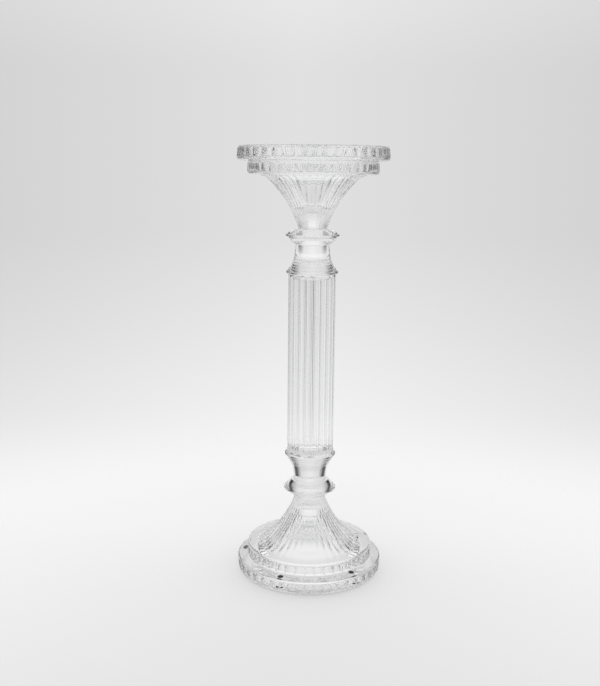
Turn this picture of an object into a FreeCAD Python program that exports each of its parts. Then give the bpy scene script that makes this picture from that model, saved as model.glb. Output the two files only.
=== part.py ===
import FreeCAD, Part
import math
import os

# Column candlestick in clear pressed glass, in millimetres, +Z up.
# The origin is on the table, under the candlestick's axis. The front is -Y.
#
# One pressing serves as the base and, turned over, as the candle plate. A turned
# connector joins each pressing to the fluted column, with a film of clear adhesive
# in each of the four joints. Rubber bumpers stand under the base.

# Overall
overall_height = 300.0
bumper_height = 1.2
bond_thickness = 0.1
front_angle = -90.0

# End pressing, heights measured from its open face
pressing_flute_count = 40
outer_tier_height = 9.2
outer_tier_radius = 51.7
outer_tier_draft = 0.7
outer_tier_flute_depth = 1.3
ledge_rise = 1.4
inner_tier_top = 18.9
inner_tier_radius = 44.6
inner_tier_draft = 0.3
inner_tier_flute_depth = 1.1
tier_edge_round = 1.6
tier_edge_inset = tier_edge_round * (1 - math.sqrt(0.5))
tier_flute_fade = 1.2

# Fluted bell of the pressing: a long sweep with a tangent cove at its foot
bell_foot_radius = 39.3
bell_end_height = 54.7
sweep_radius = 78.4
sweep_centre_radius = 84.6
sweep_centre_height = 78.7
bell_flute_depth_ratio = 0.022
bell_foot_turn = 8.0
bell_flute_start_turn = 9.0
bell_flute_full_turn = 22.0
bell_section_count = 12
bell_surface_degree = 4
bell_root_depth = 2.0

# Hollow in the pressing
cavity_mouth_radius = 37.0
cavity_waist_radius = 19.0
cavity_waist_depth = 21.0
cavity_floor_radius = 7.0
cavity_depth = 38.0

# Connector, heights measured from its knop face, corners given before rounding
knop_face_radius = 13.0
knop_corner_radius = 18.85
knop_corner_height = 4.4
knop_corner_round = 0.8
shoulder_radius = 13.1
shoulder_height = 10.4
shoulder_round = 0.6
neck_start_radius = 11.5
neck_start_height = 11.0
neck_end_radius = 12.5
neck_end_height = 18.9
collar_ring_radii = (13.8, 14.9, 16.1)
collar_ring_heights = (23.0, 25.2, 27.0)
collar_ring_step = 0.2
collar_hollow = 0.15
collar_radius = 17.9
collar_rim_height = 1.9
collar_rim_overhang = 0.8
collar_rim_slope = 0.1
collar_low_round = 0.7
collar_top_round = 0.8
connector_length = 30.8

# Column
column_radius = 16.5
column_flute_count = 22
column_flute_depth = 1.3
column_flute_tool_radius = 2.8
column_flute_margin = 1.2
column_arris_offset = 2.0

# Adhesive films
knop_bond_radius = 9.8
column_bond_radius = 16.0

# Rubber bumpers under the base, stuck on by hand: distance from the axis, and angle
# from the front towards the right
bumper_radius = 2.0
bumper_edge_break = 0.3
bumper_seats = ((40.0, -29.0), (40.0, 46.0), (40.0, 122.0), (40.0, 188.0), (46.8, 255.0))

# Heights on the assembled candlestick
pressing_base = bumper_height
knop_bond_base = pressing_base + bell_end_height
connector_base = knop_bond_base + bond_thickness
column_bond_base = connector_base + connector_length
column_base = column_bond_base + bond_thickness
turning_height = (overall_height + bumper_height) / 2
column_length = 2 * (turning_height - column_base)

up = FreeCAD.Vector(0, 0, 1)
sideways = FreeCAD.Vector(1, 0, 0)
axis_foot = FreeCAD.Vector(0, 0, 0)


def polar(radius, angle, height):
    """Point at an angle in degrees around the axis."""
    turn = math.radians(angle)
    return FreeCAD.Vector(radius * math.cos(turn), radius * math.sin(turn), height)


def outline_point(radius, height):
    """Point of a half outline that is turned about the axis."""
    return FreeCAD.Vector(radius, 0, height)


def line(start, end):
    return Part.LineSegment(start, end).toShape()


def arc(start, middle, end):
    return Part.Arc(start, middle, end).toShape()


def rounded_corner(before, corner, after, rounding):
    """Start, middle and end of the tangent arc that rounds a corner of an outline."""
    to_before = (before - corner).normalize()
    to_after = (after - corner).normalize()
    half_angle = to_before.getAngle(to_after) / 2
    reach = rounding / math.tan(half_angle)
    inward = (to_before + to_after).normalize()
    depth = rounding / math.sin(half_angle) - rounding
    return [corner + to_before * reach, corner + inward * depth, corner + to_after * reach]


def turned(edges):
    """Solid of revolution from a closed half outline."""
    return Part.Face(Part.Wire(edges)).revolve(axis_foot, up, 360)


def disc(radius, base, height):
    return Part.makeCylinder(radius, height, outline_point(0, base), up)


def turned_over(shape):
    """The same piece at the other end of the candlestick."""
    other = shape.copy()
    other.rotate(outline_point(0, turning_height), sideways, 180)
    return other


def fluted_ring(radius, depth, height):
    """Closed outline of flutes that meet in arrises, with a flute facing the front."""
    pitch = 360 / pressing_flute_count
    edges = []
    for index in range(pressing_flute_count):
        centre = front_angle + index * pitch
        first = polar(radius, centre - pitch / 2, height)
        deepest = polar(radius - depth, centre, height)
        last = polar(radius, centre + pitch / 2, height)
        edges.append(arc(first, deepest, last))
    return Part.Wire(edges)


def tier_wall(foot, top, radius, draft, depth):
    """Rings of a wall, wider towards the column, with flutes that fade out at both ends."""
    slope = draft / (top - foot)
    low = foot + tier_flute_fade
    high = top - tier_flute_fade
    return [
        fluted_ring(radius - draft, 0, foot),
        fluted_ring(radius - slope * (top - low), depth, low),
        fluted_ring(radius - slope * (top - high), depth, high),
        fluted_ring(radius, 0, top),
    ]


def lower_edge(radius, base):
    """Rings of the rounded edge under a tier's wall."""
    return [
        fluted_ring(radius - tier_edge_round, 0, base),
        fluted_ring(radius - tier_edge_inset, 0, base + tier_edge_inset),
    ]


def upper_edge(radius, top):
    """Rings of the rounded edge over a tier's wall."""
    return [
        fluted_ring(radius - tier_edge_inset, 0, top - tier_edge_inset),
        fluted_ring(radius - tier_edge_round, 0, top),
    ]


def outer_tier():
    """Wide tier with a ledge that rises gently to the inner tier."""
    low_radius = outer_tier_radius - outer_tier_draft
    wall_top = outer_tier_height - tier_edge_round
    wall = tier_wall(tier_edge_round, wall_top, outer_tier_radius, outer_tier_draft, outer_tier_flute_depth)
    ledge_foot = fluted_ring(inner_tier_radius - inner_tier_draft, 0, outer_tier_height + ledge_rise)
    rings = lower_edge(low_radius, 0) + wall + upper_edge(outer_tier_radius, outer_tier_height) + [ledge_foot]
    return Part.makeLoft(rings, True, True)


def inner_tier():
    """Narrow tier that stands on the ledge and carries the bell."""
    root = fluted_ring(inner_tier_radius - inner_tier_draft, 0, outer_tier_height)
    wall_foot = outer_tier_height + ledge_rise
    wall_top = inner_tier_top - tier_edge_round
    wall = tier_wall(wall_foot, wall_top, inner_tier_radius, inner_tier_draft, inner_tier_flute_depth)
    return Part.makeLoft([root] + wall + upper_edge(inner_tier_radius, inner_tier_top), True, True)


def bell():
    """Fluted bell, lofted through rings from its foot to its narrow end."""
    across = sweep_centre_radius - bell_foot_radius
    rise = sweep_centre_height - inner_tier_top
    cove_radius = (sweep_radius**2 - across**2 - rise**2) / (2 * (sweep_radius - rise))
    cove_centre_height = inner_tier_top + cove_radius
    cove_turn = math.atan2(across, sweep_centre_height - cove_centre_height)
    end_turn = math.acos((sweep_centre_height - bell_end_height) / sweep_radius)
    foot_turn = math.radians(bell_foot_turn)
    start_of_flutes = math.radians(bell_flute_start_turn)
    full_flutes = math.radians(bell_flute_full_turn)
    rings = []
    for index in range(bell_section_count + 1):
        turn = foot_turn + (end_turn - foot_turn) * index / bell_section_count
        if turn < cove_turn:
            radius = bell_foot_radius - cove_radius * math.sin(turn)
            height = cove_centre_height - cove_radius * math.cos(turn)
        else:
            radius = sweep_centre_radius - sweep_radius * math.sin(turn)
            height = sweep_centre_height - sweep_radius * math.cos(turn)
        share = (turn - start_of_flutes) / (full_flutes - start_of_flutes)
        share = min(max(share, 0), 1)
        rings.append(fluted_ring(radius, share * bell_flute_depth_ratio * radius, height))
    edge_radius = bell_foot_radius - cove_radius * math.sin(foot_turn)
    edge_height = cove_centre_height - cove_radius * math.cos(foot_turn)
    root_height = inner_tier_top - bell_root_depth
    root = disc(edge_radius, root_height, edge_height - root_height)
    return Part.makeLoft(rings, True, False, False, bell_surface_degree).fuse(root)


def cavity():
    """Hollow that opens in the end face and narrows towards the column."""
    centre = outline_point(0, 0)
    mouth = outline_point(cavity_mouth_radius, 0)
    waist = outline_point(cavity_waist_radius, cavity_waist_depth)
    corner = outline_point(cavity_floor_radius, cavity_depth)
    floor = outline_point(0, cavity_depth)
    return turned([line(centre, mouth), arc(mouth, waist, corner), line(corner, floor), line(floor, centre)])


def pressing():
    """End pressing with its open face at the base's underside."""
    body = outer_tier().fuse([inner_tier(), bell()]).removeSplitter()
    body = body.cut(cavity())
    body.translate(outline_point(0, pressing_base))
    return body


def connector():
    """Knop, neck and ringed collar, turned in one piece."""
    face_centre = outline_point(0, 0)
    face_corner = outline_point(knop_face_radius, 0)
    knop_corner = outline_point(knop_corner_radius, knop_corner_height)
    shoulder_corner = outline_point(shoulder_radius, shoulder_height)
    neck_start = outline_point(neck_start_radius, neck_start_height)
    neck_end = outline_point(neck_end_radius, neck_end_height)
    knop = rounded_corner(face_corner, knop_corner, shoulder_corner, knop_corner_round)
    shoulder = rounded_corner(knop_corner, shoulder_corner, neck_start, shoulder_round)
    edges = [
        line(face_centre, face_corner),
        line(face_corner, knop[0]),
        arc(*knop),
        line(knop[2], shoulder[0]),
        arc(*shoulder),
        line(shoulder[2], neck_start),
        line(neck_start, neck_end),
    ]
    rim_foot_radius = collar_radius - collar_rim_overhang
    rim_foot_height = connector_length - collar_rim_height
    last = neck_end
    flare = list(zip(collar_ring_radii, collar_ring_heights)) + [(rim_foot_radius, rim_foot_height)]
    for radius, height in flare:
        middle = outline_point((last.x + radius) / 2 - collar_hollow, (last.z + height) / 2)
        end = outline_point(radius, height)
        edges.append(arc(last, middle, end))
        last = end
        if radius < rim_foot_radius:
            last = outline_point(radius + collar_ring_step, height)
            edges.append(line(end, last))
    low_corner = outline_point(collar_radius, rim_foot_height + collar_rim_slope)
    top_corner = outline_point(collar_radius, connector_length)
    top_centre = outline_point(0, connector_length)
    low_rim = rounded_corner(last, low_corner, top_corner, collar_low_round)
    top_rim = rounded_corner(low_corner, top_corner, top_centre, collar_top_round)
    edges += [
        line(last, low_rim[0]),
        arc(*low_rim),
        line(low_rim[2], top_rim[0]),
        arc(*top_rim),
        line(top_rim[2], top_centre),
        line(top_centre, face_centre),
    ]
    body = turned(edges)
    body.translate(outline_point(0, connector_base))
    return body


def column():
    """Cylinder with round-ended flutes that stop short of both ends."""
    body = disc(column_radius, column_base, column_length)
    tool_centre = column_radius + column_flute_tool_radius - column_flute_depth
    run_out = math.sqrt(column_flute_tool_radius**2 - (tool_centre - column_radius) ** 2)
    tool_base = column_base + column_flute_margin + run_out
    tool_top = column_base + column_length - column_flute_margin - run_out
    pitch = 360 / column_flute_count
    tools = []
    for index in range(column_flute_count):
        angle = front_angle + column_arris_offset + (index + 0.5) * pitch
        low = polar(tool_centre, angle, tool_base)
        high = polar(tool_centre, angle, tool_top)
        shaft = Part.makeCylinder(column_flute_tool_radius, tool_top - tool_base, low, up)
        low_ball = Part.makeSphere(column_flute_tool_radius, low)
        high_ball = Part.makeSphere(column_flute_tool_radius, high)
        tools.append(shaft.fuse([low_ball, high_ball]).removeSplitter())
    return body.cut(tools)


def bumper(ring_radius, angle):
    """Round rubber bumper with a broken lower edge."""
    body = disc(bumper_radius, 0, bumper_height)
    lower_edges = [edge for edge in body.Edges if edge.BoundBox.ZMax < bumper_edge_break]
    body = body.makeChamfer(bumper_edge_break, lower_edges)
    body.translate(polar(ring_radius, front_angle + angle, 0))
    return body


def bumpers():
    return Part.makeCompound([bumper(ring_radius, angle) for ring_radius, angle in bumper_seats])


lower_pressing = pressing()
lower_connector = connector()
lower_knop_bond = disc(knop_bond_radius, knop_bond_base, bond_thickness)
lower_column_bond = disc(column_bond_radius, column_bond_base, bond_thickness)

pieces = {
    "base_pressing": lower_pressing,
    "lower_knop_bond": lower_knop_bond,
    "lower_connector": lower_connector,
    "lower_column_bond": lower_column_bond,
    "column": column(),
    "upper_column_bond": turned_over(lower_column_bond),
    "upper_connector": turned_over(lower_connector),
    "upper_knop_bond": turned_over(lower_knop_bond),
    "plate_pressing": turned_over(lower_pressing),
    "bumpers": bumpers(),
}

os.makedirs("parts", exist_ok=True)
for name, shape in pieces.items():
    shape.exportStep("parts/" + name + ".step")
    print(name, shape.isValid(), len(shape.Solids), round(shape.Volume, 1), shape.BoundBox)
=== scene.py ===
import math

import bpy
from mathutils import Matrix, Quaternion, Vector


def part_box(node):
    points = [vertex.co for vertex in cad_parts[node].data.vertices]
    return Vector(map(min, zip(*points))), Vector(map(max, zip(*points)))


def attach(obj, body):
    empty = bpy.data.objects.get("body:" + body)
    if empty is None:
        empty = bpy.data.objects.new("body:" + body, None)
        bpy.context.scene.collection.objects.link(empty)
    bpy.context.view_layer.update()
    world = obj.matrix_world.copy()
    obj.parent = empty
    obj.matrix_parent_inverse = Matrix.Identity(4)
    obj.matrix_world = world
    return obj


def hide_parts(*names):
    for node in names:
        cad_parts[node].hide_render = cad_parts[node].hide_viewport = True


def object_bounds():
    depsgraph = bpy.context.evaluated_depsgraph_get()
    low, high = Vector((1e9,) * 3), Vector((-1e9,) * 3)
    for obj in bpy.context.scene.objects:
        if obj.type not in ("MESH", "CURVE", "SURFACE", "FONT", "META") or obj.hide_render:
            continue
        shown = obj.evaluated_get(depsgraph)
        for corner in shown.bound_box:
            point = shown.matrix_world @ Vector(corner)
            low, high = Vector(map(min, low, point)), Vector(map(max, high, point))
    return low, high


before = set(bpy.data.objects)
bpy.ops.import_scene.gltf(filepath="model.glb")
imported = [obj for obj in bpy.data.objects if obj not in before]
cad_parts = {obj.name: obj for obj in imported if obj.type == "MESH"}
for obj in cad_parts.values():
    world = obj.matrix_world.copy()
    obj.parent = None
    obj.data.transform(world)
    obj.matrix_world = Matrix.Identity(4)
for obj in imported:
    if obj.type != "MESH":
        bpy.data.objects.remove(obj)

# The CAD's own size, taken before its parts are replaced
cad_low, cad_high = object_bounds()

MM = 0.001

# Pressing: outline heights are measured from its open face, in millimetres
PRESSING_FLUTES = 40
OUTER_TIER_HEIGHT = 9.2
OUTER_TIER_DRAFT = 0.7
OUTER_TIER_RADIUS = 51.7
OUTER_FLUTE_DEPTH = 0.9
LEDGE_RISE = 1.4
INNER_TIER_TOP = 18.9
INNER_TIER_DRAFT = 0.3
INNER_TIER_RADIUS = 44.6
INNER_FLUTE_DEPTH = 0.6
TIER_ROUNDING = 1.6
LEDGE_FILLET = 0.6
WALL_ROWS = 24
WALL_ARCH_SHARE = 0.08
WALL_SOFTNESS = 0.05
BELL_FOOT_RADIUS = 39.3
BELL_END_HEIGHT = 54.7
SWEEP_RADIUS = 78.4
SWEEP_CENTRE_RADIUS = 84.6
SWEEP_CENTRE_HEIGHT = 78.7
BELL_FLUTE_DEPTH_RATIO = 0.014
BELL_FLUTE_START_TURN = math.radians(7)
BELL_FLUTE_FULL_TURN = math.radians(15)
BELL_ROWS = 70
CAVITY_MOUTH_RADIUS = 37.0
CAVITY_WAIST = (19.0, 21.0)
CAVITY_FLOOR_RADIUS = 7.0
CAVITY_DEPTH = 38.0
CAVITY_ROWS = 24
CAVITY_FLOOR_ROUNDING = 1.2
MOUTH_ROUNDING = 1.0
BELL_END_EDGE = 0.05

# Connector: outline heights are measured from its knop face, in millimetres
KNOP_FACE_RADIUS = 13.0
KNOP_RADIUS = 18.85
KNOP_WIDEST_HEIGHT = 4.4
KNOP_SHOULDER = (13.1, 10.4)
KNOP_FACE_ROUNDING = 0.4
KNOP_ROUNDING = 0.8
SHOULDER_ROUNDING = 0.6
NECK_ROUNDING = 0.2
NECK_START = (11.5, 11.0)
NECK_END = (12.5, 18.9)
COLLAR_RINGS = ((13.8, 23.0), (14.9, 25.2), (16.1, 27.0))
COLLAR_RING_STEP = 0.2
COLLAR_HOLLOW = 0.15
COLLAR_RADIUS = 17.9
COLLAR_OVERHANG = 0.8
COLLAR_RIM_HEIGHT = 1.9
COLLAR_RIM_STEP = 0.1
COLLAR_RIM_LOW_ROUNDING = 0.7
COLLAR_RIM_HIGH_ROUNDING = 0.8
COLLAR_CURVE_ROWS = 8
CONNECTOR_LENGTH = 30.8
# Rings close beside a step in the collar, as (radius, height) offsets, keep its edge crisp
RING_EDGE = (0.05, 0.02)
RING_FOOT_RISE = 0.08

# Column, in millimetres
COLUMN_RADIUS = 16.5
COLUMN_FLUTES = 22
COLUMN_FLUTE_DEPTH = 1.3
COLUMN_FLUTE_MARGIN = 1.2
COLUMN_FLUTE_RUN = 2.4
COLUMN_FLUTE_END_ROWS = 14
COLUMN_MIDDLE_ROWS = 10
COLUMN_EDGE_ROUNDING = 0.3
# The column's first arris is this many degrees from the front
COLUMN_ARRIS_OFFSET = 2.0

KNOP_BOND_RADIUS = 9.8
COLUMN_BOND_RADIUS = 16.0
FRONT_ANGLE = -90.0
# Distance from a rounding to the ring beside it, and the steps round it
SUPPORT = 0.12
ROUNDING_STEPS = 6

# How soft the arrises between flutes are: 0 is sharp
PLAIN_SOFTNESS = 0.25
BELL_SOFTNESS = 0.4
COLUMN_SOFTNESS = 0.02

# Angular positions across one flute, closer together beside its arrises
HALF_FLUTE_SHARES = (0.025, 0.05, 0.08, 0.12, 0.18, 0.26, 0.36)
FLUTE_SHARES = (0.0, *HALF_FLUTE_SHARES, 0.5, *(1 - share for share in reversed(HALF_FLUTE_SHARES)))


# ---------------------------------------------------------------- outlines

def row(radius, height, depth=0.0, lift=0.0, inward=(-1.0, 0.0), bonded=False, softness=PLAIN_SOFTNESS):
    """One ring of a turned shape. Its flutes are depth deep, less lift times depth."""
    return {
        "radius": radius,
        "height": height,
        "depth": depth,
        "lift": lift,
        "inward": inward,
        "bonded": bonded,
        "softness": softness,
    }


def rounded(outline):
    """Rings for corners of (radius, height, rounding, depth of the flutes in the wall above)."""
    rows = []
    fluted = 0
    for index, (radius, height, rounding, depth) in enumerate(outline):
        if rounding == 0:
            rows.append(row(radius, height))
            continue
        here = Vector((radius, height))
        to_last = (Vector(outline[index - 1][:2]) - here).normalized()
        to_next = (Vector(outline[index + 1][:2]) - here).normalized()
        half = to_last.angle(to_next) / 2
        reach = rounding / math.tan(half)
        centre = here + (to_last + to_next).normalized() * rounding / math.sin(half)
        start = here + to_last * reach - centre
        end = here + to_next * reach - centre
        first = here + to_last * (reach + SUPPORT)
        if fluted:
            rows += fluted_wall(rows[-1], row(first.x, first.y), fluted)
        else:
            rows.append(row(first.x, first.y))
        for step in range(ROUNDING_STEPS + 1):
            point = centre + swung(start, swing(start, end) * step / ROUNDING_STEPS)
            rows.append(row(point.x, point.y))
        last = here + to_next * (reach + SUPPORT)
        rows.append(row(last.x, last.y))
        fluted = depth
    return rows


def fluted_wall(first, last, depth):
    """Rings from one ring to another, with flutes that end in round arches."""
    rows = []
    for step in range(1, WALL_ROWS + 1):
        share = step / WALL_ROWS
        radius = first["radius"] + (last["radius"] - first["radius"]) * share
        height = first["height"] + (last["height"] - first["height"]) * share
        near_end = max(1 - min(share, 1 - share) / WALL_ARCH_SHARE, 0)
        rows.append(row(radius, height, depth, near_end**2, softness=WALL_SOFTNESS))
    return rows


def swung(arm, angle):
    """A flat vector turned by an angle."""
    cosine, sine = math.cos(angle), math.sin(angle)
    return Vector((arm.x * cosine - arm.y * sine, arm.x * sine + arm.y * cosine))


def swing(start, end):
    """Signed angle from one flat vector to another, the short way."""
    return math.atan2(start.x * end.y - start.y * end.x, start.dot(end))


def circle_centre(first, middle, last):
    """Centre of the circle through three points."""
    a, b, c = Vector(first), Vector(middle), Vector(last)
    d = 2 * (a.x * (b.y - c.y) + b.x * (c.y - a.y) + c.x * (a.y - b.y))
    aa, bb, cc = a.length_squared, b.length_squared, c.length_squared
    x = (aa * (b.y - c.y) + bb * (c.y - a.y) + cc * (a.y - b.y)) / d
    y = (aa * (c.x - b.x) + bb * (a.x - c.x) + cc * (b.x - a.x)) / d
    return Vector((x, y))


def arc_points(first, middle, last, steps):
    """Points along the arc through three points, both ends included."""
    centre = circle_centre(first, middle, last)
    start, end = Vector(first) - centre, Vector(last) - centre
    return [centre + swung(start, swing(start, end) * step / steps) for step in range(steps + 1)]


def bell_rows():
    """Cove and sweep of the bell, with round-ended flutes that start above the cove's foot."""
    across = SWEEP_CENTRE_RADIUS - BELL_FOOT_RADIUS
    rise = SWEEP_CENTRE_HEIGHT - INNER_TIER_TOP
    cove_radius = (SWEEP_RADIUS**2 - across**2 - rise**2) / (2 * (SWEEP_RADIUS - rise))
    cove_centre = INNER_TIER_TOP + cove_radius
    cove_turn = math.atan2(across, SWEEP_CENTRE_HEIGHT - cove_centre)
    end_turn = math.acos((SWEEP_CENTRE_HEIGHT - BELL_END_HEIGHT) / SWEEP_RADIUS)
    rows = []
    for index in range(BELL_ROWS + 1):
        turn = end_turn * index / BELL_ROWS
        if turn < cove_turn:
            radius = BELL_FOOT_RADIUS - cove_radius * math.sin(turn)
            height = cove_centre - cove_radius * math.cos(turn)
        else:
            radius = SWEEP_CENTRE_RADIUS - SWEEP_RADIUS * math.sin(turn)
            height = SWEEP_CENTRE_HEIGHT - SWEEP_RADIUS * math.cos(turn)
        short = (BELL_FLUTE_FULL_TURN - turn) / (BELL_FLUTE_FULL_TURN - BELL_FLUTE_START_TURN)
        lift = min(max(short, 0), 1) ** 2
        inward = (-math.sin(turn), -math.cos(turn))
        depth = BELL_FLUTE_DEPTH_RATIO * radius
        rows.append(row(radius, height, depth, lift, inward, softness=BELL_SOFTNESS))
    return rows


def pressing_rows():
    """Rings of the pressing: its hollow, open face, two fluted tiers, bell and joint face."""
    floor_edge = (CAVITY_FLOOR_RADIUS, CAVITY_DEPTH)
    rows = rounded([
        (0.0, CAVITY_DEPTH, 0, 0),
        (*floor_edge, CAVITY_FLOOR_ROUNDING, 0),
        (*CAVITY_WAIST, 0, 0),
    ])[:-1]
    wall = arc_points(floor_edge, CAVITY_WAIST, (CAVITY_MOUTH_RADIUS, 0), CAVITY_ROWS)
    rows += [row(point.x, point.y) for point in wall[2:-1]]
    ledge_radius = INNER_TIER_RADIUS - INNER_TIER_DRAFT
    ledge_height = OUTER_TIER_HEIGHT + LEDGE_RISE
    rows += rounded([
        (wall[-2].x, wall[-2].y, 0, 0),
        (CAVITY_MOUTH_RADIUS, 0, MOUTH_ROUNDING, 0),
        (OUTER_TIER_RADIUS - OUTER_TIER_DRAFT, 0, TIER_ROUNDING, OUTER_FLUTE_DEPTH),
        (OUTER_TIER_RADIUS, OUTER_TIER_HEIGHT, TIER_ROUNDING, 0),
        (ledge_radius, ledge_height, LEDGE_FILLET, INNER_FLUTE_DEPTH),
        (INNER_TIER_RADIUS, INNER_TIER_TOP, TIER_ROUNDING, 0),
        (BELL_FOOT_RADIUS, INNER_TIER_TOP, 0, 0),
    ])[1:-1]
    rows += bell_rows()
    end_radius = rows[-1]["radius"]
    rows.append(row(end_radius - BELL_END_EDGE, BELL_END_HEIGHT))
    rows.append(row(KNOP_BOND_RADIUS, BELL_END_HEIGHT))
    rows.append(row(0.0, BELL_END_HEIGHT, bonded=True))
    return rows


def connector_rows():
    """Rings of the connector: knop, neck and ringed collar, with a joint face at each end."""
    rows = rounded([
        (0.0, 0.0, 0, 0),
        (KNOP_FACE_RADIUS, 0.0, KNOP_FACE_ROUNDING, 0),
        (KNOP_RADIUS, KNOP_WIDEST_HEIGHT, KNOP_ROUNDING, 0),
        (*KNOP_SHOULDER, SHOULDER_ROUNDING, 0),
        (*NECK_START, NECK_ROUNDING, 0),
        (*NECK_END, 0, 0),
    ])
    rows.insert(1, row(KNOP_BOND_RADIUS, 0.0, bonded=True))
    rim_foot = (COLLAR_RADIUS - COLLAR_OVERHANG, CONNECTOR_LENGTH - COLLAR_RIM_HEIGHT)
    last = Vector(NECK_END)
    for radius, height in (*COLLAR_RINGS, rim_foot):
        middle = ((last.x + radius) / 2 - COLLAR_HOLLOW, (last.y + height) / 2)
        curve = arc_points(last, middle, (radius, height), COLLAR_CURVE_ROWS)
        rows += [row(point.x, point.y) for point in curve[1:]]
        if radius < rim_foot[0]:
            rows.append(row(radius + RING_EDGE[0], height - RING_EDGE[1]))
            last = Vector((radius + COLLAR_RING_STEP, height))
            rows.append(row(last.x - RING_EDGE[0], last.y + RING_EDGE[1]))
            rows.append(row(last.x, last.y + RING_FOOT_RISE))
    rows += rounded([
        (*rim_foot, 0, 0),
        (COLLAR_RADIUS, rim_foot[1] + COLLAR_RIM_STEP, COLLAR_RIM_LOW_ROUNDING, 0),
        (COLLAR_RADIUS, CONNECTOR_LENGTH, COLLAR_RIM_HIGH_ROUNDING, 0),
        (0.0, CONNECTOR_LENGTH, 0, 0),
    ])[1:-1]
    rows.append(row(COLUMN_BOND_RADIUS, CONNECTOR_LENGTH))
    rows.append(row(0.0, CONNECTOR_LENGTH, bonded=True))
    return rows


def column_rows(length):
    """Rings of the column: flutes end in round arches short of both flat ends."""
    rows = rounded([
        (0.0, 0.0, 0, 0),
        (COLUMN_RADIUS, 0.0, COLUMN_EDGE_ROUNDING, 0),
        (COLUMN_RADIUS, length, COLUMN_EDGE_ROUNDING, 0),
        (0.0, length, 0, 0),
    ])
    half = len(rows) // 2
    low_end, high_end = rows[:half], rows[half:]
    low_end.insert(1, row(COLUMN_BOND_RADIUS, 0.0, bonded=True))
    high_end.insert(len(high_end) - 1, row(COLUMN_BOND_RADIUS, length))
    high_end[-1]["bonded"] = True

    def fluted(height, lift=0.0):
        return row(COLUMN_RADIUS, height, COLUMN_FLUTE_DEPTH, lift, softness=COLUMN_SOFTNESS)

    shares = [step / COLUMN_FLUTE_END_ROWS for step in range(COLUMN_FLUTE_END_ROWS + 1)]
    ends = [fluted(COLUMN_FLUTE_MARGIN + COLUMN_FLUTE_RUN * share, (1 - share) ** 2) for share in shares]
    middle = [fluted(length * step / COLUMN_MIDDLE_ROWS) for step in range(1, COLUMN_MIDDLE_ROWS)]
    tops = [fluted(length - end["height"], end["lift"]) for end in reversed(ends)]
    return low_end + ends + middle + tops + high_end


def bond_rows(radius, thickness):
    """A film whose rim is drawn in slightly, between two bonded faces."""
    return [
        row(0.0, 0.0),
        row(radius, 0.0, bonded=True),
        row(radius - thickness / 4, thickness / 2),
        row(radius, thickness),
        row(0.0, thickness, bonded=True),
    ]


# ---------------------------------------------------------------- meshes

def scooped(share, softness):
    """Depth of a flute at a share of its width, from 0 at its soft arrises to 1 in its middle."""
    away = abs(2 * share - 1)
    soft = math.sqrt((1 - away**2) ** 2 + softness**2) - softness
    return soft / (math.sqrt(1 + softness**2) - softness)


def turned_mesh(name, rows, flute_count, first_arris, base_height, flipped_about=None):
    """Closed mesh from rings. Material 0 is for the outside and 1 is for the bonded faces."""
    pitch = 2 * math.pi / flute_count
    angles = [
        (first_arris + (flute + share) * pitch, share)
        for flute in range(flute_count)
        for share in FLUTE_SHARES
    ]
    around = len(angles)
    points, faces, bonded_faces, rings = [], [], [], []
    for ring in rows:
        start = len(points)
        if ring["radius"] == 0:
            points.append((0.0, 0.0, base_height + ring["height"] * MM))
            rings.append((start, 1))
            continue
        for angle, share in angles:
            scoop = scooped(share, ring["softness"]) - ring["lift"]
            depth = ring["depth"] * max(scoop, 0)
            radius = (ring["radius"] + ring["inward"][0] * depth) * MM
            height = base_height + (ring["height"] + ring["inward"][1] * depth) * MM
            points.append((radius * math.cos(angle), radius * math.sin(angle), height))
        rings.append((start, around))
    for index in range(len(rows) - 1):
        (low, low_count), (high, high_count) = rings[index], rings[index + 1]
        face_is_bonded = rows[index + 1]["bonded"]
        for step in range(around):
            following = (step + 1) % around
            if low_count == 1:
                face = (low, high + following, high + step)
            elif high_count == 1:
                face = (low + step, low + following, high)
            else:
                face = (low + step, low + following, high + following, high + step)
            bonded_faces.append(face_is_bonded)
            faces.append(face)
    if flipped_about is not None:
        points = [(x, -y, 2 * flipped_about - z) for x, y, z in points]
    mesh = bpy.data.meshes.new(name)
    mesh.from_pydata(points, [], faces)
    mesh.update()
    mesh.shade_smooth()
    for polygon, face_is_bonded in zip(mesh.polygons, bonded_faces):
        polygon.material_index = 1 if face_is_bonded else 0
    piece = bpy.data.objects.new(name, mesh)
    bpy.context.scene.collection.objects.link(piece)
    return piece


def fitted(piece, node, slot, *materials):
    """Puts a piece in place of its CAD node, on the one body of the candlestick."""
    for material in materials:
        piece.data.materials.append(material)
    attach(piece, "root")
    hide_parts(node)
    return piece


# ---------------------------------------------------------------- materials

def new_tree(name):
    """New material and its emptied node tree."""
    material = bpy.data.materials.new(name)
    material.use_nodes = True
    material.node_tree.nodes.clear()
    return material, material.node_tree


def add(tree, kind, settings=None, **inputs):
    """New node. An input's value or link is given by the input's name, or by its number as i0, i1."""
    node = tree.nodes.new(kind)
    for key, value in (settings or {}).items():
        setattr(node, key, value)
    for key, value in inputs.items():
        numbered = key[0] == "i" and key[1:].isdigit()
        socket = node.inputs[int(key[1:]) if numbered else key.replace("_", " ")]
        if isinstance(value, bpy.types.NodeSocket):
            tree.links.new(value, socket)
        else:
            socket.default_value = value
    return node


def math_node(tree, operation, first, second=0.0):
    return add(tree, "ShaderNodeMath", {"operation": operation}, i0=first, i1=second).outputs[0]


def mapped(tree, value, span, tones, interpolation="LINEAR"):
    """A value carried from one span to another."""
    return add(
        tree, "ShaderNodeMapRange", {"interpolation_type": interpolation}, i0=value,
        i1=span[0], i2=span[1], i3=tones[0], i4=tones[1],
    ).outputs[0]


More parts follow.
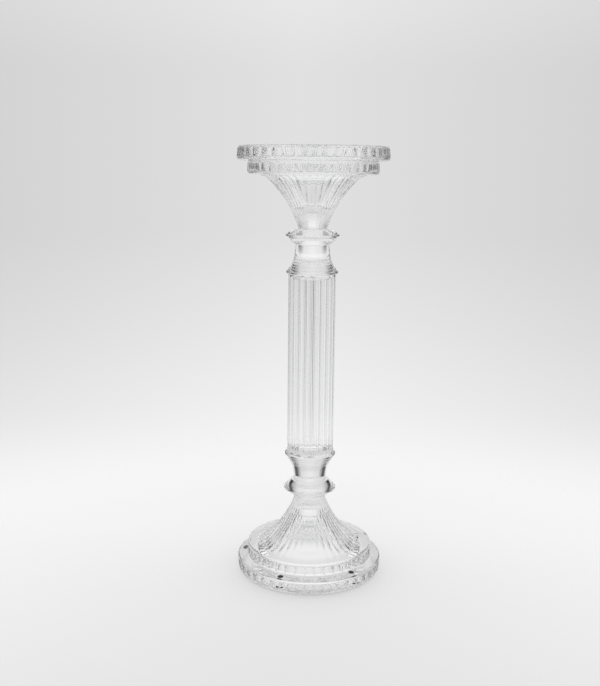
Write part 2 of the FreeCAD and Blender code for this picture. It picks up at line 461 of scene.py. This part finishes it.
def ramp(tree, value, stops):
    """Colour that follows a value through stops of (position, tone or colour)."""
    node = add(tree, "ShaderNodeValToRGB", None, Fac=value)
    elements = node.color_ramp.elements
    while len(elements) > 1:
        elements.remove(elements[-1])
    for index, (position, tone) in enumerate(stops):
        element = elements[0] if index == 0 else elements.new(position)
        element.position = position
        colour = tone if isinstance(tone, tuple) else (tone, tone, tone)
        element.color = (*colour, 1)
    return node.outputs["Color"]


# Light that reaches the floor through one glass surface
SHADOW_TINT = (0.975, 0.975, 0.975, 1)


def glass_material(name, tint, ior, waviness, haze):
    """Clear glass with faint pressing waves, fine pits and a trace of surface haze."""
    material, tree = new_tree(name)
    place = add(tree, "ShaderNodeTexCoord").outputs["Object"]
    waves = add(tree, "ShaderNodeTexNoise", None, Vector=place, Scale=70.0, Detail=2.0, Roughness=0.4)
    pits = add(tree, "ShaderNodeTexNoise", None, Vector=place, Scale=900.0, Detail=3.0, Roughness=0.6)
    shallow_pits = math_node(tree, "MULTIPLY", pits.outputs["Fac"], 0.002)
    height = math_node(tree, "ADD", waves.outputs["Fac"], shallow_pits)
    bump = add(tree, "ShaderNodeBump", None, Strength=waviness, Distance=0.0004, Height=height)
    film = add(tree, "ShaderNodeTexNoise", None, Vector=place, Scale=160.0, Detail=4.0)
    roughness = ramp(tree, film.outputs["Fac"], [(0.45, 0.0), (0.75, haze)])
    paler = tuple(min(1, channel * 1.01) for channel in tint)
    colour = ramp(tree, waves.outputs["Fac"], [(0.3, tint), (0.7, paler)])
    glass = add(
        tree, "ShaderNodeBsdfPrincipled", None, Base_Color=colour, Roughness=roughness, IOR=ior,
        Transmission_Weight=1.0, Normal=bump.outputs["Normal"],
    )
    clear = add(tree, "ShaderNodeBsdfTransparent", None, Color=SHADOW_TINT)
    shadow = add(tree, "ShaderNodeLightPath").outputs["Is Shadow Ray"]
    mix = add(tree, "ShaderNodeMixShader", None, Fac=shadow, i1=glass.outputs[0], i2=clear.outputs[0])
    output = add(tree, "ShaderNodeOutputMaterial")
    tree.links.new(mix.outputs[0], output.inputs["Surface"])
    return material


def bonded_material():
    """A joint face wetted by adhesive, where light passes straight from piece to piece."""
    material, tree = new_tree("bonded_face")
    place = add(tree, "ShaderNodeTexCoord").outputs["Object"]
    spots = add(tree, "ShaderNodeTexNoise", None, Vector=place, Scale=600.0, Detail=2.0)
    colour = ramp(tree, spots.outputs["Fac"], [(0.35, 0.97), (0.6, 1.0)])
    clear = add(tree, "ShaderNodeBsdfTransparent", None, Color=colour)
    output = add(tree, "ShaderNodeOutputMaterial")
    tree.links.new(clear.outputs[0], output.inputs["Surface"])
    return material


def rubber_material():
    """Dark rubber with a fine grain."""
    material, tree = new_tree("black_rubber")
    place = add(tree, "ShaderNodeTexCoord").outputs["Object"]
    grain = add(tree, "ShaderNodeTexNoise", None, Vector=place, Scale=2500.0, Detail=4.0)
    bump = add(tree, "ShaderNodeBump", None, Strength=0.3, Distance=0.0001, Height=grain.outputs["Fac"])
    colour = ramp(tree, grain.outputs["Fac"], [(0.3, 0.012), (0.8, 0.03)])
    roughness = ramp(tree, grain.outputs["Fac"], [(0.3, 0.55), (0.8, 0.8)])
    rubber = add(
        tree, "ShaderNodeBsdfPrincipled", None, Base_Color=colour, Roughness=roughness,
        Normal=bump.outputs["Normal"],
    )
    output = add(tree, "ShaderNodeOutputMaterial")
    tree.links.new(rubber.outputs[0], output.inputs["Surface"])
    return material


# ---------------------------------------------------------------- the object

glass = glass_material("clear_glass", (0.99, 0.995, 0.995), 1.52, 0.08, 0.0)
adhesive = glass_material("clear_adhesive", (0.98, 0.98, 0.97), 1.5, 0.4, 0.1)
bonded_face = bonded_material()
joint_face = glass_material("joint_face", (0.995, 0.997, 0.997), 1.52, 0.02, 0.0)
rubber = rubber_material()

base_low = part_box("base_pressing")[0].z
connector_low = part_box("lower_connector")[0].z
column_low, column_high = (corner.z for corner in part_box("column"))
plate_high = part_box("plate_pressing")[1].z
turning_height = (base_low + plate_high) / 2
flute_pitch = 2 * math.pi / PRESSING_FLUTES
pressing_arris = math.radians(FRONT_ANGLE) - flute_pitch / 2
column_arris = math.radians(FRONT_ANGLE + COLUMN_ARRIS_OFFSET)

pressing = pressing_rows()
connector = connector_rows()
column = column_rows((column_high - column_low) / MM)

# A piece with a turning height is given half a turn about a level line at that height
for name, node, rows, flutes, arris, low, flipped_about in (
    ("glass_base", "base_pressing", pressing, PRESSING_FLUTES, pressing_arris, base_low, None),
    ("glass_plate", "plate_pressing", pressing, PRESSING_FLUTES, pressing_arris, base_low, turning_height),
    ("glass_lower_connector", "lower_connector", connector, COLUMN_FLUTES, column_arris, connector_low, None),
    ("glass_upper_connector", "upper_connector", connector, COLUMN_FLUTES, column_arris, connector_low,
     turning_height),
    ("glass_column", "column", column, COLUMN_FLUTES, column_arris, column_low, None),
):
    piece = turned_mesh(name, rows, flutes, arris, low, flipped_about)
    fitted(piece, node, "clear_glass", glass, joint_face)

for node, radius in (
    ("lower_knop_bond", KNOP_BOND_RADIUS),
    ("lower_column_bond", COLUMN_BOND_RADIUS),
    ("upper_column_bond", COLUMN_BOND_RADIUS),
    ("upper_knop_bond", KNOP_BOND_RADIUS),
):
    low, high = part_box(node)
    film = bond_rows(radius, (high.z - low.z) / MM)
    piece = turned_mesh("film_" + node, film, COLUMN_FLUTES, 0.0, low.z)
    fitted(piece, node, "clear_adhesive", adhesive, bonded_face)

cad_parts["bumpers"].data.materials.clear()
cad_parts["bumpers"].data.materials.append(rubber)

# ---------------------------------------------------------------- stage

object_height = plate_high - base_low
floor_height = cad_low.z

# Camera place as shares of the object's height, and its turns in degrees
CAMERA_SIDE = -0.0265
CAMERA_DISTANCE = 2.0661
CAMERA_HEIGHT = 0.9497
CAMERA_DOWN_TILT = 10.97
CAMERA_ROLL = 0.55
SENSOR_WIDTH = 36.0
LENS = 47.2

# Floor, in metres from the axis: it fades into the surround over the fade span
FLOOR_RADIUS = 0.5
FLOOR_RINGS = 24
FLOOR_SEGMENTS = 96
FLOOR_FADE = (0.12, 0.34)
PAPER_TONE = (0.9, 0.9, 0.9, 1)
# Painted pool of light: the floor glows in place of the light that the foot focuses on it, weaker away from
# the axis
PAINTED_FOOT_LIGHT_SPAN = (0.015, 0.062)
PAINTED_FOOT_LIGHT = (0.5, 0.0)
# Painted sheen: the whole floor glows, weaker where it is seen from higher up
PAINTED_SHEEN_SPAN = (0.375, 0.53)
PAINTED_SHEEN = (0.38, 0.27)

# The surround, as (angle in degrees, tone). Up and down: floor side, bright sweep, grey wall, ceiling
LEVEL_TONES = ((-90, 0.8), (-32, 0.8), (-20, 0.95), (-4, 0.75), (6, 0.75), (20, 0.95), (90, 0.9))
# Around from the camera's view: backdrop, dark flag beside it, bright panel beyond that, room
SIDE_TONES = (
    (0, 1.0), (22, 0.85),
    (37, 0.0), (46, 0.0),
    (60, 1.1), (80, 1.1),
    (105, 0.8), (180, 1.0),
)
# How far the flags and panels reach up and down
SIDE_WEIGHTS = (
    (-90, 0.0), (-28, 0.0), (-18, 0.25), (-15, 0.8), (-10, 1.0), (25, 1.0), (40, 0.0), (90, 0.0),
)
# Overhead, the ceiling is bright over the backdrop and dim over the camera
OVERHEAD_TONES = ((0, 0.85), (60, 0.85), (120, 0.4), (180, 0.4))
OVERHEAD_WEIGHTS = ((-90, 0.0), (20, 0.0), (30, 1.0), (90, 1.0))


def world_light():
    """Soft studio surround. Its backdrop, flags and panels turn with the camera."""
    world = bpy.data.worlds.new("studio")
    bpy.context.scene.world = world
    world.use_nodes = True
    tree = world.node_tree
    tree.nodes.clear()
    direction = add(tree, "ShaderNodeTexCoord").outputs["Generated"]
    forward = add(
        tree, "ShaderNodeVectorTransform",
        {"vector_type": "VECTOR", "convert_from": "CAMERA", "convert_to": "WORLD"}, Vector=(0, 0, 1),
    ).outputs[0]
    level = (1.0, 1.0, 0.0)

    def vector_node(operation, **inputs):
        return add(tree, "ShaderNodeVectorMath", {"operation": operation}, **inputs)

    def flat(vector):
        flattened = vector_node("MULTIPLY", i0=vector, i1=level).outputs[0]
        return vector_node("NORMALIZE", i0=flattened).outputs[0]

    alignment = vector_node("DOT_PRODUCT", i0=flat(direction), i1=flat(forward)).outputs["Value"]
    bearing_share = math_node(tree, "DIVIDE", math_node(tree, "ARCCOSINE", alignment), math.pi)
    rise = add(tree, "ShaderNodeSeparateXYZ", None, Vector=direction).outputs["Z"]
    elevation = math_node(tree, "ARCSINE", rise)
    elevation_share = math_node(tree, "ADD", math_node(tree, "DIVIDE", elevation, math.pi), 0.5)

    def by_elevation(stops):
        return ramp(tree, elevation_share, [((angle + 90) / 180, tone) for angle, tone in stops])

    def by_bearing(stops):
        return ramp(tree, bearing_share, [(angle / 180, tone) for angle, tone in stops])

    level_tone, side_tone = by_elevation(LEVEL_TONES), by_bearing(SIDE_TONES)
    weight, overhead = by_elevation(SIDE_WEIGHTS), by_elevation(OVERHEAD_WEIGHTS)
    overhead_tone = by_bearing(OVERHEAD_TONES)
    multiply = {"blend_type": "MULTIPLY"}
    sided = add(
        tree, "ShaderNodeMixRGB", multiply, Fac=weight, Color1=level_tone, Color2=side_tone,
    ).outputs[0]
    tone = add(tree, "ShaderNodeMixRGB", multiply, Fac=overhead, Color1=sided, Color2=overhead_tone)
    background = add(tree, "ShaderNodeBackground", None, Color=tone.outputs[0], Strength=1.0)
    output = add(tree, "ShaderNodeOutputWorld")
    tree.links.new(background.outputs[0], output.inputs["Surface"])


def studio_floor():
    """Pale round floor that fades into the surround."""
    points = [(0.0, 0.0, floor_height)]
    for ring in range(1, FLOOR_RINGS + 1):
        reach = FLOOR_RADIUS * ring / FLOOR_RINGS
        for step in range(FLOOR_SEGMENTS):
            angle = 2 * math.pi * step / FLOOR_SEGMENTS
            points.append((reach * math.cos(angle), reach * math.sin(angle), floor_height))
    faces = [(0, 1 + step, 1 + (step + 1) % FLOOR_SEGMENTS) for step in range(FLOOR_SEGMENTS)]
    for ring in range(FLOOR_RINGS - 1):
        low, high = 1 + ring * FLOOR_SEGMENTS, 1 + (ring + 1) * FLOOR_SEGMENTS
        for step in range(FLOOR_SEGMENTS):
            following = (step + 1) % FLOOR_SEGMENTS
            faces.append((low + step, high + step, high + following, low + following))
    mesh = bpy.data.meshes.new("floor")
    mesh.from_pydata(points, [], faces)
    floor = bpy.data.objects.new("floor", mesh)
    bpy.context.scene.collection.objects.link(floor)
    mesh.materials.append(paper_material())


def paper_material():
    """Matt paper with painted light of its own, a painted pool of light under the foot and a painted sheen
    all over, clear at the floor's rim.
    """
    material, tree = new_tree("paper_with_painted_glow")
    place = add(tree, "ShaderNodeTexCoord").outputs["Object"]
    distance = add(tree, "ShaderNodeVectorMath", {"operation": "LENGTH"}, i0=place).outputs["Value"]
    fade = mapped(tree, distance, FLOOR_FADE, (0.0, 1.0), "SMOOTHSTEP")
    paper = add(tree, "ShaderNodeBsdfDiffuse", None, Color=PAPER_TONE)
    # Painted pool of light under the foot
    painted_foot_light = mapped(tree, distance, PAINTED_FOOT_LIGHT_SPAN, PAINTED_FOOT_LIGHT, "SMOOTHSTEP")
    incoming = add(tree, "ShaderNodeNewGeometry").outputs["Incoming"]
    seen_from = add(tree, "ShaderNodeSeparateXYZ", None, Vector=incoming).outputs["Z"]
    # Painted sheen, stronger where the floor is seen at a low angle
    painted_sheen = mapped(tree, seen_from, PAINTED_SHEEN_SPAN, PAINTED_SHEEN)
    strength = math_node(tree, "ADD", painted_foot_light, painted_sheen)
    # Both painted lights shine from the paper as its own glow
    painted_glow = add(tree, "ShaderNodeEmission", None, Color=(1, 1, 1, 1), Strength=strength)
    lit = add(tree, "ShaderNodeAddShader", None, i0=paper.outputs[0], i1=painted_glow.outputs[0])
    clear = add(tree, "ShaderNodeBsdfTransparent")
    mix = add(tree, "ShaderNodeMixShader", None, Fac=fade, i1=lit.outputs[0], i2=clear.outputs[0])
    output = add(tree, "ShaderNodeOutputMaterial")
    tree.links.new(mix.outputs[0], output.inputs["Surface"])
    return material


def camera():
    """Camera in front of the object, nearly level with its top, looking slightly down."""
    data = bpy.data.cameras.new("camera")
    data.sensor_width = SENSOR_WIDTH
    data.lens = LENS
    data.clip_start = 0.01
    holder = bpy.data.objects.new("camera", data)
    bpy.context.scene.collection.objects.link(holder)
    holder.location = (
        CAMERA_SIDE * object_height,
        -CAMERA_DISTANCE * object_height,
        base_low + CAMERA_HEIGHT * object_height,
    )
    holder.rotation_mode = "QUATERNION"
    tilt = Quaternion((1, 0, 0), math.radians(90 - CAMERA_DOWN_TILT))
    roll = Quaternion((0, 0, 1), math.radians(CAMERA_ROLL))
    holder.rotation_quaternion = tilt @ roll
    bpy.context.scene.camera = holder


world_light()
studio_floor()
camera()

# Light crosses many glass surfaces before it leaves
GLASS_BOUNCES = 32
MIRROR_BOUNCES = 8
scene = bpy.context.scene
scene.view_settings.view_transform = "Standard"
scene.cycles.max_bounces = GLASS_BOUNCES
scene.cycles.transmission_bounces = GLASS_BOUNCES
scene.cycles.transparent_max_bounces = GLASS_BOUNCES
scene.cycles.glossy_bounces = MIRROR_BOUNCES
scene.cycles.caustics_reflective = False
scene.cycles.caustics_refractive = False
